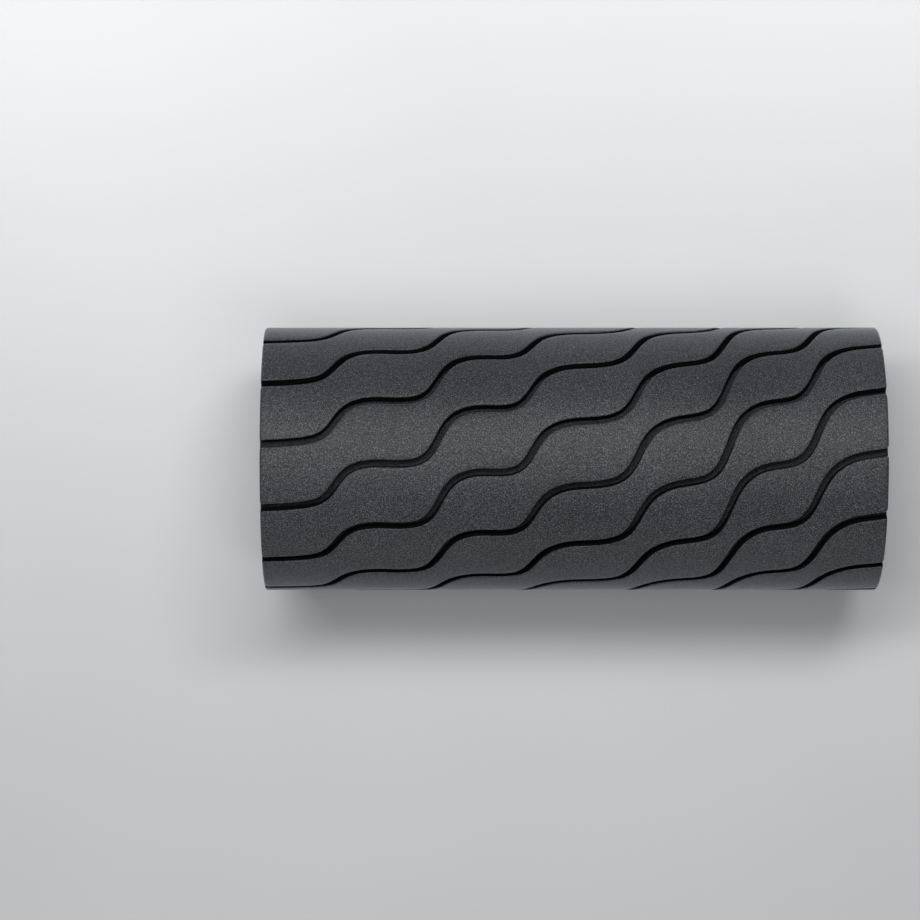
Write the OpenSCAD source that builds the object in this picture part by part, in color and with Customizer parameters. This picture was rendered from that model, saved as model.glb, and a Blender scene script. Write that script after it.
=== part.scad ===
// Vibrating foam roller: a grooved foam sleeve on a rigid core tube, with a motor that turns two
// eccentric weights, a battery pack and a push-button panel in one end.
// The roller's axis is X, its centre is the origin and Z is up. Units are millimetres.

/* [Roller] */
// Length over the foam ends
roller_length = 302; // [300:1:330]
// Diameter over the foam
roller_d = 130; // [126:1:140]
// Depth of the dished ends, from the foam's end face to the flat floor
dish_depth = 12; // [11:0.5:13]

/* [Wave grooves] */
// Number of grooves around the sleeve
groove_count = 13; // [9:1:14]
// Width of a groove, square to its length
groove_w = 3.7; // [2:0.1:5]
// Depth of a groove
groove_depth = 5; // [2:0.5:8]
// How gently the grooves rise at each step: half the length of a step's steep part
rise_half_w = 6; // [5:0.1:8]

/* [Motor] */
// Diameter of the motor's steel can
motor_d = 38; // [36:0.5:38]
// Diameter of the motor shaft
shaft_d = 5; // [4:0.5:5]
// Outer radius of the eccentric weights
weight_r = 16; // [12:0.5:18]

/* [Controls] */
// Radius of the power button's cap
power_r = 9.7; // [8:0.1:10]
// Radius of the plus and minus buttons' caps
step_r = 6.2; // [5:0.1:6.5]
// Travel of the buttons
button_travel = 0.8; // [0.5:0.1:1]

/* [Hidden] */
$fn = 96;
eps = 0.01;

// Stations along X, worked out from the ends inwards.
half_len = roller_length / 2;
tube_end = half_len - 9;
lip_face = half_len - 1;
floor_out = half_len - dish_depth;
floor_in = floor_out - 2;
board_top = floor_in - 8.4;
board_back = board_top - 1.6;
cap_inner = board_back - 7.5;
cap_back = cap_inner - 3;
chassis_end = cap_back - 0.5;

// Radii of the nested shells.
foam_r = roller_d / 2;
foam_in_r = 48.06;
tube_r = 48;
tube_in_r = 45;
skirt_r = 44.8;
skirt_in_r = 42.4;
seat_r = 44;
chassis_r = 44.6;
chassis_in_r = 42.2;
screw_ring_r = 39;

// Motor and weights along X.
motor_back = -17;
can_back = -11;
motor_front = 39;
motor_r = motor_d / 2;
can_wall = 1.6;
shaft_r = shaft_d / 2;
weight_t = 12;
rear_weight_x = -33;
front_weight_x = 43;
bearing_w = 5;
bearing_r = 8;
ball_r = 1.5;
ball_ring_r = 5.25;
ball_count = 7;

// Battery pack.
cell_r = 9.2;
cell_len = 65;
cell_x = -109;
cell_pitch = 19.4;
pack_z = -13;

// Main board.
mb_x0 = 66;
mb_x1 = 110;
mb_half_w = 26;
mb_z = -2;
pcb_t = 1.6;
mb_top = mb_z + pcb_t;

// Control panel.
step_y = 20;
led_r = 20;
led_step = 14;
jack_z = -22;
jack_r = 4.6;
socket_r = 2.8;
pin_r = 1;
proud = 1.2;
flange_t = 1.2;
flange_out = 1.5;
fit = 0.3;

// ---- helpers ----

// A rod along X from x0 to x1, centred on (y, z).
module rod_x(r, x0, x1, y = 0, z = 0)
    translate([x0, y, z]) rotate([0, 90, 0]) cylinder(r = r, h = x1 - x0);

// A tube along X.
module tube_x(r_out, r_in, x0, x1, y = 0, z = 0)
    difference() {
        rod_x(r_out, x0, x1, y, z);
        rod_x(r_in, x0 - 1, x1 + 1, y, z);
    }

// A box given by its lowest and highest corners.
module box(lo, hi) translate(lo) cube(hi - lo);

// Children drawn once per angle round the X axis, starting from +Z and turning towards +Y.
module around_x(angles) for (a = angles) rotate([-a, 0, 0]) children();

// A revolved outline whose points are [radius, x].
module lathe_x(outline) rotate([0, 90, 0]) rotate_extrude() polygon(outline);

// A pan-head screw pointing down -Z with its seat at z = 0.
module pan_screw(len, r = 1.5, head_r = 2.8, head_h = 2)
    difference() {
        union() {
            cylinder(r = head_r, h = head_h);
            translate([0, 0, -len]) cylinder(r = r, h = len + eps);
        }
        translate([0, 0, head_h - 1]) cylinder(r = r * 0.8, h = 2, $fn = 6);
    }

function tanh(t) = 1 - 2 / (exp(2 * t) + 1);
function sum(v, i = 0) = i < len(v) ? v[i] + sum(v, i + 1) : 0;
function unit(v) = v / norm(v);

// Corner cutting, which rounds a line of points.
function cut_corners(p, times) =
    times == 0 ? p :
    cut_corners([
        p[0],
        for (i = [0:len(p) - 2]) each [0.75 * p[i] + 0.25 * p[i + 1], 0.25 * p[i] + 0.75 * p[i + 1]],
        p[len(p) - 1],
    ], times - 1);

// A round wire along a line of points that never runs along Y.
module wire(points, r, sides = 8) {
    p = cut_corners(points, 2);
    n = len(p);
    function along(i) = unit(p[min(i + 1, n - 1)] - p[max(i - 1, 0)]);
    rings = [for (i = [0:n - 1])
        let (u = unit(cross(along(i), [0, 1, 0])), v = cross(along(i), u))
        for (k = [0:sides - 1]) p[i] + r * (cos(360 * k / sides) * u + sin(360 * k / sides) * v)];
    polyhedron(rings, [
        [for (k = [0:sides - 1]) k],
        for (i = [0:n - 2], k = [0:sides - 1]) let (a = i * sides + k, b = i * sides + (k + 1) % sides)
            each [[a, a + sides, b], [b, a + sides, b + sides]],
        [for (k = [sides - 1:-1:0]) (n - 1) * sides + k],
    ]);
}

// ---- foam sleeve ----

// Each groove climbs round the sleeve in six smooth steps. A step rises steeply at its middle, crests a
// little after it and sinks back as the next one begins. Climbs are in millimetres along the surface, at
// the reference radius of 65.
rise_at = [-114, -65, -19, 30.5, 74, 116.5];
rise_by = [14, 18.5, 16, 18.5, 24, 21];
groove_start = 28.25;
groove_lead = 0.236;
groove_curl = 0.00065;
crest = 0.3;
crest_after = 15;
crest_half_w = 18;
path_r = 65;

function rise(t) =
    (1 + tanh(t / rise_half_w)) / 2 + crest * (1 - pow(tanh((t - crest_after) / crest_half_w), 2));
function groove_arc(x) =
    groove_start + groove_lead * x + groove_curl * x * x
    + sum([for (i = [0:len(rise_at) - 1]) rise_by[i] * rise(x - rise_at[i])]);
function groove_angle(x) = groove_arc(x) / path_r * 180 / PI;
function groove_slope(x) = groove_arc(x + 0.5) - groove_arc(x - 0.5);
function half_angle(x, w) = w / 2 * sqrt(1 + pow(groove_slope(x), 2)) / foam_r * 180 / PI;

sleeve_spans = 48;
land_steps = 3;
end_bevel = 1.2;
pitch = 360 / groove_count;
// The sleeve's rings, with one more close to each end for the bevel.
ring_x = [
    -half_len,
    for (i = [0:sleeve_spans]) (half_len - end_bevel) * (2 * i / sleeve_spans - 1),
    half_len,
];

// One ring's points round one groove and the land after it, as [angle, depth below the surface].
function pitch_points(x) =
    let (top = half_angle(x, groove_w), low = half_angle(x, groove_w - 0.5))
    [
        [-top, 0], [-low, groove_depth], [low, groove_depth], [top, 0],
        for (s = [1:land_steps - 1]) [top + (pitch - 2 * top) * s / land_steps, 0],
    ];
per_pitch = land_steps + 3;
ring_n = per_pitch * groove_count;

function on_ring(x, a, r) = [x, r * sin(a), r * cos(a)];

module foam_sleeve() {
    rings = len(ring_x);
    outer = [
        for (x = ring_x)
            let (bevel = abs(x) > half_len - eps ? end_bevel : 0, start = groove_angle(x))
            for (g = [0:groove_count - 1], p = pitch_points(x))
                on_ring(x, start + g * pitch + p[0], foam_r - p[1] - bevel),
    ];
    // The bore's points are evenly spaced and run straight from end to end.
    step = 360 / ring_n;
    inner = [for (x = [-half_len, half_len], j = [0:ring_n - 1])
        on_ring(x, groove_angle(-half_len) + (j - 1.5) * step, foam_in_r)];
    // How many points the grooves climb past on their way from end to end.
    climb = round((groove_angle(half_len) - groove_angle(-half_len)) / step);
    q = len(outer);
    function at(i, j) = i * ring_n + j % ring_n;
    function near(j) = q + j % ring_n;
    function far(j) = q + ring_n + j % ring_n;
    last = rings - 1;
    color([0.16, 0.165, 0.175]) polyhedron(concat(outer, inner), [
        for (i = [0:last - 1], j = [0:ring_n - 1])
            each [[at(i, j), at(i, j + 1), at(i + 1, j + 1)], [at(i, j), at(i + 1, j + 1), at(i + 1, j)]],
        for (j = [0:ring_n - 1]) each [
            [near(j), far(j), far(j + 1)], [near(j), far(j + 1), near(j + 1)],
            [near(j), near(j + 1), at(0, j + 1)], [near(j), at(0, j + 1), at(0, j)],
            [far(j + climb), at(last, j + 1), far(j + 1 + climb)],
            [far(j + climb), at(last, j), at(last, j + 1)],
        ],
    ], convexity = 10);
}

// ---- core tube and end caps ----

key_w = 4;
key_depth = 4;

module core_tube() color([0.22, 0.22, 0.23]) difference() {
    tube_x(tube_r, tube_in_r, -tube_end, tube_end);
    for (s = [-1, 1], t = [-1, 1])
        translate([s * tube_end, t * (tube_r + tube_in_r) / 2, 0])
            cube([2 * key_depth, 6, key_w], center = true);
}

cap_screw_angles = [45, 135, 225, 315];
board_post_angles = [60, 180, 300];
board_post_r = 31;
bead_x = floor_out + 7;

// The cap's outline: bulkhead, skirt in the tube, lip on the tube's end, seat and groove for the fascia.
module cap_body() difference() {
    union() {
        lathe_x([
            [0, cap_back], [skirt_r, cap_back], [skirt_r, tube_end], [tube_r, tube_end],
            [tube_r, lip_face - 1], [tube_r - 1, lip_face], [seat_r + 0.6, lip_face],
            [seat_r, lip_face - 0.6], [seat_r, bead_x + 0.7],
            [seat_r + 0.35, bead_x + 0.5], [seat_r + 0.35, bead_x - 0.5],
            [seat_r, bead_x - 0.7], [seat_r, tube_end], [skirt_in_r, tube_end], [skirt_in_r, cap_inner],
            [0, cap_inner],
        ]);
        for (t = [-1, 1]) translate([tube_end - key_depth / 2 + 0.3, t * 46, 0])
            cube([key_depth - 0.4, 3.4, key_w - 0.3], center = true);
        around_x(board_post_angles) rod_x(3, cap_inner - eps, board_back, 0, board_post_r);
    }
    around_x(cap_screw_angles) rod_x(1.6, cap_back - 1, cap_inner + 1, 0, screw_ring_r);
    around_x(board_post_angles) rod_x(1.25, cap_inner + 1, board_back + 1, 0, board_post_r);
    box([cap_back - 1, -9, 5], [cap_inner + 1, 9, 18]);
}

module end_cap_control() color([0.12, 0.12, 0.125]) cap_body();
module end_cap_plain() color([0.12, 0.12, 0.125]) mirror([1, 0, 0]) cap_body();

// The dish: a flat floor whose side climbs to the rim in one smooth curve.
dish_flat_r = 31;
dish_rim_r = 42.6;
dish_top = lip_face - 0.7;
dish_steps = 12;
gasket_t = 0.8;
function dish_x(r, base, top) =
    base + (top - base) * (1 - cos(180 * (r - dish_flat_r) / (dish_rim_r - dish_flat_r))) / 2;
// The dish's side at part t of its way up, from 0 to 1, on a rim of the given radius.
function dish_side(t, rim_r, base, top) =
    let (r = dish_flat_r + (rim_r - dish_flat_r) * t) [r, dish_x(r, base, top)];

module dish_body() lathe_x([
    [0, floor_out], [dish_flat_r, floor_out],
    for (k = [1:dish_steps]) dish_side(k / dish_steps, dish_rim_r, floor_out, dish_top),
    [seat_r - 0.5, dish_top - 0.2], [seat_r - 0.1, dish_top - 0.7], [seat_r - 0.1, bead_x + 0.6],
    [seat_r + 0.25, bead_x + 0.3], [seat_r + 0.25, bead_x - 0.3], [seat_r - 0.1, bead_x - 0.6],
    [seat_r - 0.1, tube_end + gasket_t], [dish_rim_r, tube_end + gasket_t],
    for (k = [dish_steps - 1:-1:1])
        dish_side(k / dish_steps, dish_rim_r - 0.6, floor_in, tube_end + gasket_t + 1),
    [dish_flat_r - 0.5, floor_in], [0, floor_in],
]);

led_angles = [for (k = [-2:2]) k * led_step];

module control_fascia() color([0.1, 0.1, 0.105]) difference() {
    dish_body();
    rod_x(power_r + fit, floor_in - 1, floor_out + 1);
    for (s = [-1, 1]) rod_x(step_r + fit, floor_in - 1, floor_out + 1, s * step_y);
    rod_x(jack_r + 0.1, floor_in - 1, floor_out + 1, 0, jack_z);
    around_x(led_angles) rod_x(1.15, floor_in - 1, floor_out + 1, 0, led_r);
}

// The plain end carries a raised ring as its only ornament.
module plain_fascia() color([0.1, 0.1, 0.105]) mirror([1, 0, 0]) union() {
    dish_body();
    tube_x(14, 12.6, floor_out - 1, floor_out + 0.5);
}

module fascia_gaskets() color([0.3, 0.3, 0.3])
    for (s = [0, 1]) mirror([s, 0, 0])
        tube_x(seat_r - 0.3, skirt_in_r + 0.2, tube_end, tube_end + gasket_t);

module end_cap_screws() color("silver")
    for (s = [0, 1]) mirror([s, 0, 0]) around_x(cap_screw_angles)
        translate([cap_inner, 0, screw_ring_r]) rotate([0, 90, 0]) pan_screw(11);

// ---- buttons, lights and charging socket ----

post_end = board_top + 5.8;

// A button with a dished cap, a flange that keeps it in, and a post for its plunger.
module button(r, y) translate([0, y, 0]) lathe_x([
    [0, post_end], [2.5, post_end], [2.5, floor_in - 0.05 - flange_t],
    [r + flange_out, floor_in - 0.05 - flange_t],
    [r + flange_out, floor_in - 0.05], [r, floor_in - 0.05], [r, floor_out + proud - 0.6],
    [r - 0.2, floor_out + proud - 0.2], [r - 0.8, floor_out + proud], [r * 0.6, floor_out + proud - 0.25],
    [0, floor_out + proud - 0.4],
]);

module power_button() color([0.14, 0.14, 0.145]) button(power_r, 0);
module plus_button() color([0.14, 0.14, 0.145]) button(step_r, step_y);
module minus_button() color([0.14, 0.14, 0.145]) button(step_r, -step_y);

switch_h = 3.6;
plunger_r = 1.75;
module plunger(y) color([0.2, 0.2, 0.2]) rod_x(plunger_r, board_top + switch_h - 0.8, post_end, y);
module power_plunger() plunger(0);
module plus_plunger() plunger(step_y);
module minus_plunger() plunger(-step_y);

module tact_switches() color([0.75, 0.75, 0.77]) for (y = [-step_y, 0, step_y]) difference() {
    translate([board_top, y - 3, -3]) cube([switch_h, 6, 6]);
    rod_x(plunger_r + 0.1, board_top + switch_h - 2, board_top + switch_h + 1, y);
}

module light_pipes() color([0.9, 0.92, 0.95, 0.8]) around_x(led_angles) union() {
    rod_x(1.1, board_top + 1.4, floor_out + 0.15, 0, led_r);
    rod_x(1.8, floor_in - 1, floor_in - 0.05, 0, led_r);
}

module status_leds() color([0.95, 0.95, 0.85]) around_x(led_angles)
    box([board_top, -1, led_r - 1], [board_top + 0.9, 1, led_r + 1]);

module control_board() color([0.05, 0.3, 0.15]) difference() {
    rod_x(36, board_back, board_top);
    around_x(board_post_angles) rod_x(1.6, board_back - 1, board_top + 1, 0, board_post_r);
}

module control_board_screws() color("silver") around_x(board_post_angles)
    translate([board_top, 0, board_post_r]) rotate([0, 90, 0])
        pan_screw(7.5, r = 1.25, head_r = 2.4, head_h = 1.6);

socket_floor = board_top + 1;
module jack_housing() color([0.08, 0.08, 0.08]) difference() {
    union() {
        rod_x(jack_r, board_top + 4, floor_out, 0, jack_z);
        box([board_top, -4.5, jack_z - 4.5], [board_top + 4 + eps, 4.5, jack_z + 4.5]);
    }
    rod_x(socket_r, socket_floor, floor_out + 1, 0, jack_z);
}

module jack_pin() color([0.85, 0.8, 0.6]) translate([0, 0, jack_z]) lathe_x([
    [0, socket_floor], [pin_r, socket_floor], [pin_r, floor_out - 1.2], [pin_r - 0.5, floor_out - 0.7],
    [0, floor_out - 0.7],
]);

panel_conn_z = 14;
module panel_connector() color([0.92, 0.9, 0.84])
    box([board_back - 5, -8, panel_conn_z - 3], [board_back, 8, panel_conn_z + 3]);

// ---- ribbon cable, from the main board up to the control board ----

ribbon_t = 0.8;
ribbon_w = 12;
mb_conn_x1 = 107;
mb_conn_h = 6;
ribbon_z0 = mb_top + mb_conn_h / 2;

module ribbon_cable() {
    x0 = mb_conn_x1;
    x1 = board_back - 5;
    steps = 16;
    function mid(t) = [x0 + (x1 - x0) * t, ribbon_z0 + (panel_conn_z - ribbon_z0) * t * t * (3 - 2 * t)];
    function side(t, s) =
        let (d = unit(mid(min(t + 0.02, 1)) - mid(max(t - 0.02, 0))))
        mid(t) + s * ribbon_t / 2 * (t == 0 || t == 1 ? [0, 1] : [-d[1], d[0]]);
    color([0.6, 0.6, 0.62]) translate([0, ribbon_w / 2, 0]) rotate([90, 0, 0]) linear_extrude(ribbon_w)
        polygon(concat(
            [for (k = [0:steps]) side(k / steps, 1)],
            [for (k = [steps:-1:0]) side(k / steps, -1)]));
}

// ---- chassis: two half shells that hold everything inside the core tube ----

bulkhead_t = 3;
rear_bulkhead_x = -41;
front_bulkhead_x = 60;
rib_t = 4;
rear_rib_x = -8;
front_rib_x = 26;
sleeve_t = 2;
holder_x = [-108, -53];
holder_len = 8;
pack_half = 20;
chassis_screw_x = [-76, 11, 86];
chassis_screw_y = 35;
screw_seat_z = 8;
// The radius of the walls and ribs, which reach into the shell, and the height of the screw posts.
wall_r = 43;
post_h = 14;
wire_z = 28;
wire_y = [9.25, 13.75];

module chassis_walls() {
    tube_x(chassis_r, chassis_in_r, -chassis_end, chassis_end);
    for (x = [-chassis_end, rear_bulkhead_x, front_bulkhead_x, chassis_end - bulkhead_t])
        rod_x(wall_r, x, x + bulkhead_t);
    for (x = [rear_rib_x, front_rib_x]) rod_x(wall_r, x, x + rib_t);
    for (s = [0, 1]) mirror([s, 0, 0]) around_x(cap_screw_angles)
        rod_x(3.8, chassis_end - 12, chassis_end, 0, screw_ring_r);
}

module chassis_openings() {
    for (s = [0, 1]) mirror([s, 0, 0]) around_x(cap_screw_angles)
        rod_x(1.5, chassis_end - 11.5, chassis_end + 1, 0, screw_ring_r);
    for (x = [rear_rib_x, front_rib_x]) rod_x(motor_r + sleeve_t, x - 1, x + rib_t + 1);
    for (x = [rear_bulkhead_x, front_bulkhead_x]) rod_x(6, x - 1, x + bulkhead_t + 1);
    for (y = wire_y, s = [-1, 1])
        rod_x(1.8, rear_bulkhead_x - 1, front_bulkhead_x + bulkhead_t + 1, s * y, wire_z);
    box([chassis_end - bulkhead_t - 1, -9, 1.5], [chassis_end + 1, 9, 14]);
}

module chassis_lower() color([0.85, 0.85, 0.83]) difference() {
    union() {
        intersection() {
            chassis_walls();
            box([-chassis_end - 1, -50, -50], [chassis_end + 1, 50, 0]);
        }
        intersection() {
            rod_x(wall_r, -chassis_end, chassis_end);
            union() {
                for (x = holder_x)
                    box([x + 2, -pack_half, -wall_r], [x + 6, pack_half, pack_z - pack_half]);
                for (x = chassis_screw_x, s = [-1, 1])
                    translate([x - 1.5, s * 40 - 4, -post_h]) cube([3, 8, post_h]);
            }
        }
        for (s = [0, 1]) mirror([0, s, 0])
            box([front_bulkhead_x + 1, 20, mb_z - 5], [chassis_end - 1, 41, mb_z]);
        for (x = chassis_screw_x, s = [-1, 1])
            translate([x, s * chassis_screw_y, -post_h]) cylinder(r = 4, h = post_h);
    }
    chassis_openings();
    for (x = chassis_screw_x, s = [-1, 1])
        translate([x, s * chassis_screw_y, 2 - post_h]) cylinder(r = 1.5, h = post_h);
    for (p = mb_screws) translate([p[0], p[1], mb_z - 8]) cylinder(r = 1.25, h = 9);
}

module chassis_upper() color([0.85, 0.85, 0.83]) difference() {
    union() {
        intersection() {
            chassis_walls();
            box([-chassis_end - 1, -50, 0], [chassis_end + 1, 50, 50]);
        }
        intersection() {
            rod_x(wall_r, -chassis_end, chassis_end);
            union() {
                for (x = holder_x) box([x + 2, -5, pack_z + pack_half + 2], [x + 6, 5, wall_r]);
                for (x = chassis_screw_x, s = [-1, 1])
                    translate([x, s * chassis_screw_y, 0]) cylinder(r = 4.4, h = 30);
            }
        }
    }
    chassis_openings();
    for (x = chassis_screw_x, s = [-1, 1]) translate([x, s * chassis_screw_y, -1]) {
        cylinder(r = 1.6, h = 20);
        translate([0, 0, screw_seat_z + 1]) cylinder(r = 3.1, h = 40);
    }
}

module chassis_screws() color("silver") for (x = chassis_screw_x, s = [-1, 1])
    translate([x, s * chassis_screw_y, screw_seat_z]) pan_screw(18);

// ---- motor ----

magnet_in_r = 14.5;
can_in_r = motor_r - can_wall;

module motor_can() color([0.7, 0.71, 0.73]) difference() {
    union() {
        tube_x(motor_r, can_in_r, can_back, motor_front - 2);
        rod_x(motor_r, motor_front - 2.6, motor_front);
        rod_x(10, motor_front - bearing_w - 0.5, motor_front);
    }
    rod_x(bearing_r, motor_front - bearing_w, motor_front + 1);
    rod_x(6.4, motor_front - bearing_w - 2, motor_front);
    around_x([0, 180]) rod_x(1.5, motor_front - 4, motor_front + 1, 0, 12.5);
}

brush_x0 = -6;
brush_x1 = -1;
brush_half = 2.5;

module motor_end_bell() color([0.15, 0.15, 0.17]) difference() {
    union() {
        rod_x(motor_r, motor_back, can_back);
        rod_x(can_in_r - 0.05, can_back - eps, can_back + 3);
        around_x([90, 270]) box([can_back, -3.8, 5.8], [brush_x1 + 1, 3.8, 15]);
    }
    rod_x(bearing_r, motor_back - 1, motor_back + bearing_w);
    rod_x(5.6, motor_back, can_back + 4);
    around_x([90, 270]) box([brush_x0, -brush_half - 0.05, 5], [brush_x1, brush_half + 0.05, 15.5]);
    for (y = [-6, 6]) box([motor_back + 2, y - 1.6, 12], [motor_back + 3, y + 1.6, 20]);
}

module motor_terminals() color([0.8, 0.7, 0.4])
    for (y = [-6, 6]) box([motor_back + 2, y - 1.6, 12], [motor_back + 3, y + 1.6, 22.5]);

module motor_brushes() color([0.12, 0.12, 0.12]) around_x([90, 270])
    box([brush_x0, -brush_half, 5.1], [brush_x1, brush_half, 12]);

module motor_magnets() color([0.3, 0.3, 0.32]) for (s = [0, 1]) mirror([0, 0, s]) intersection() {
    tube_x(can_in_r, magnet_in_r, 3, 33);
    box([2, -13, 5], [34, 13, 20]);
}

module motor_sleeves() color([0.1, 0.1, 0.1])
    for (x = [rear_rib_x, front_rib_x])
        tube_x(motor_r + sleeve_t - 0.02, motor_r + 0.02, x - 1, x + rib_t + 1);

module motor_shaft() color([0.8, 0.8, 0.82])
    rod_x(shaft_r, rear_weight_x - 2, front_weight_x + weight_t + 2);

rotor_r = 13.9;
module rotor_core() color([0.45, 0.45, 0.47]) difference() {
    rod_x(rotor_r, 5, 31);
    rod_x(shaft_r, 4, 32);
    around_x([for (k = [0:4]) k * 72]) {
        rod_x(3, 4, 32, 0, 9.4);
        box([4, -0.9, 9.4], [32, 0.9, 15]);
    }
}

module rotor_windings() color([0.72, 0.4, 0.2]) {
    around_x([for (k = [0:4]) k * 72]) rod_x(2.9, 4, 32, 0, 9.4);
    lathe_x([[3.2, 2], [9, 2], [12.7, 3.2], [12.7, 5], [3.2, 5]]);
    lathe_x([[3.2, 31], [12.7, 31], [12.7, 32.8], [9, 33.2], [3.2, 33.2]]);
}

module commutator() color([0.75, 0.45, 0.25]) difference() {
    tube_x(5, shaft_r, -9, 1.8);
    around_x([for (k = [0:4]) k * 72]) box([-10, -0.25, 4.2], [1, 0.25, 6]);
}

// ---- eccentric weights, heavy side down ----

module weight(x) color([0.62, 0.6, 0.55]) difference() {
    union() {
        rod_x(7.5, x, x + weight_t);
        intersection() {
            rod_x(weight_r, x, x + weight_t);
            box([x - 1, -weight_r - 1, -weight_r - 1], [x + weight_t + 1, weight_r + 1, -1]);
        }
    }
    rod_x(shaft_r, x - 1, x + weight_t + 1);
    translate([x + weight_t / 2, 0, 0]) cylinder(r = 2, h = 10);
}
module front_weight() weight(front_weight_x);
module rear_weight() weight(rear_weight_x);

module weight_screws() color([0.2, 0.2, 0.2]) for (x = [front_weight_x, rear_weight_x])
    translate([x + weight_t / 2, 0, shaft_r]) difference() {
        cylinder(r = 2, h = 4.6);
        translate([0, 0, 3]) cylinder(r = 1.1, h = 3, $fn = 6);
    }

// ---- ball bearings ----

bearing_x = [motor_front - bearing_w, motor_back];
race_r = ball_r + 0.05;

// A race ring's outline, with the balls' track cut as a round groove.
module race(r0, r1, x) difference() {
    tube_x(r1, r0, x, x + bearing_w);
    translate([x + bearing_w / 2, 0, 0]) rotate([0, 90, 0])
        rotate_extrude() translate([ball_ring_r, 0]) circle(r = race_r, $fn = 48);
}
module bearing_outer_rings() color([0.8, 0.8, 0.82]) for (x = bearing_x) race(6.5, bearing_r, x);
module bearing_inner_rings() color([0.8, 0.8, 0.82]) for (x = bearing_x) race(shaft_r, 4, x);

ball_angles = [for (k = [0:ball_count - 1]) k * 360 / ball_count];
module balls(x) color([0.9, 0.9, 0.92]) around_x(ball_angles)
    translate([x + bearing_w / 2, 0, ball_ring_r]) sphere(r = ball_r);
module cage(x) color([0.75, 0.65, 0.4]) difference() {
    tube_x(5.8, 4.7, x + 0.4, x + bearing_w - 0.4);
    around_x(ball_angles) translate([x + bearing_w / 2, 0, ball_ring_r]) sphere(r = ball_r + 0.04);
}
module front_balls() balls(bearing_x[0]);
module rear_balls() balls(bearing_x[1]);
module front_cage() cage(bearing_x[0]);
module rear_cage() cage(bearing_x[1]);

// ---- battery pack ----

cell_places = [for (y = [-1, 1], z = [-1, 1]) [y * cell_pitch / 2, pack_z + z * cell_pitch / 2]];

module battery_cells() color([0.2, 0.45, 0.55]) for (p = cell_places) union() {
    rod_x(cell_r, cell_x + 0.8, cell_x + cell_len, p[0], p[1]);
    rod_x(3, cell_x, cell_x + 1, p[0], p[1]);
}

module cell_holders() color([0.1, 0.1, 0.11]) for (x = holder_x) difference() {
    box([x, -pack_half, pack_z - pack_half], [x + holder_len, pack_half, pack_z + pack_half]);
    for (p = cell_places) rod_x(cell_r + 0.1, x - 1, x + holder_len + 1, p[0], p[1]);
}

strip_t = 0.3;
module cell_strips() color([0.8, 0.8, 0.78]) for (z = [-1, 1], x = [cell_x - strip_t, cell_x + cell_len])
    translate([x, -14, pack_z + z * cell_pitch / 2 - 3.5]) cube([strip_t, 28, 7]);

module battery_pads() color([0.3, 0.3, 0.32])
    for (x = holder_x) box([x, -14, pack_z + pack_half], [x + holder_len, 14, pack_z + pack_half + 2]);

insulator_z = pack_z + cell_pitch / 2 + cell_r + 0.1;
module battery_insulator() color([0.85, 0.8, 0.6])
    box([-97, -14, insulator_z], [-56, 14, insulator_z + 0.4]);

bb_top = insulator_z + 0.4 + 1.2;
module battery_board() color([0.05, 0.3, 0.15]) box([-95, -11, insulator_z + 0.4], [-58, 11, bb_top]);

// ---- main board ----

mb_screws = [for (x = [mb_x0 + 3.5, mb_x1 - 3.5], s = [-1, 1]) [x, s * 22.5]];
conn_x0 = 67;
conn_x1 = 74;
conn_h = 7;

module main_board() color([0.05, 0.3, 0.15]) difference() {
    box([mb_x0, -mb_half_w, mb_z], [mb_x1, mb_half_w, mb_top]);
    for (p = mb_screws) translate([p[0], p[1], mb_z - 1]) cylinder(r = 1.4, h = 4);
}

module main_board_screws() color("silver") for (p = mb_screws)
    translate([p[0], p[1], mb_top]) pan_screw(6, r = 1.25, head_r = 2.3, head_h = 1.6);

// Inductor, two power transistors, controller and radio, as [lowest corner, size].
chips = [
    [[78, 2], [10, 10, 5]],
    [[78, -19], [6.5, 10, 2.3]],
    [[87, -19], [6.5, 10, 2.3]],
    [[90, -6], [8, 9, 1.4]],
    [[96, -25], [7.5, 15, 2.4]],
];
module board_chips() color([0.12, 0.12, 0.13])
    for (c = chips) translate([c[0][0], c[0][1], mb_top]) cube(c[1]);

module board_capacitors() color([0.15, 0.2, 0.4]) for (x = [83, 94])
    translate([x, 18.5, mb_top]) cylinder(r = 4.2, h = 12);

module board_connectors() color([0.92, 0.9, 0.84]) {
    for (s = [0, 1]) mirror([0, s, 0]) box([conn_x0, 7, mb_top], [conn_x1, 16, mb_top + conn_h]);
    box([mb_conn_x1 - 6, -8, mb_top], [mb_conn_x1, 8, mb_top + mb_conn_h]);
}

// ---- wires, which leave boards and terminals square to them and pass the bulkheads by their holes ----

conn_top = mb_top + conn_h;
lead_x = (conn_x0 + conn_x1) / 2;

module battery_leads() color([0.6, 0.1, 0.1]) for (y = wire_y) wire([
    [-64, y - 4, bb_top], [-64, y - 4, bb_top + 6], [-62, y - 3, wire_z],
    [-55, y, wire_z], [-48, y, wire_z],
    [lead_x - 6, y, wire_z], [lead_x, y, wire_z], [lead_x, y, wire_z - 6], [lead_x, y, conn_top],
], 1.1);

module motor_leads() color([0.15, 0.15, 0.15]) for (s = [0, 1]) let (y = -wire_y[s], t = 6 - 12 * s) wire([
    [motor_back + 2.5, t, 22.5], [motor_back + 2.5, t, 25.5], [motor_back + 3, (t + y) / 2, wire_z],
    [motor_back + 5, y, wire_z], [motor_back + 8, y, wire_z],
    [lead_x - 6, y, wire_z], [lead_x, y, wire_z], [lead_x, y, wire_z - 6], [lead_x, y, conn_top],
], 0.9);

// ---- output ----

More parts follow.
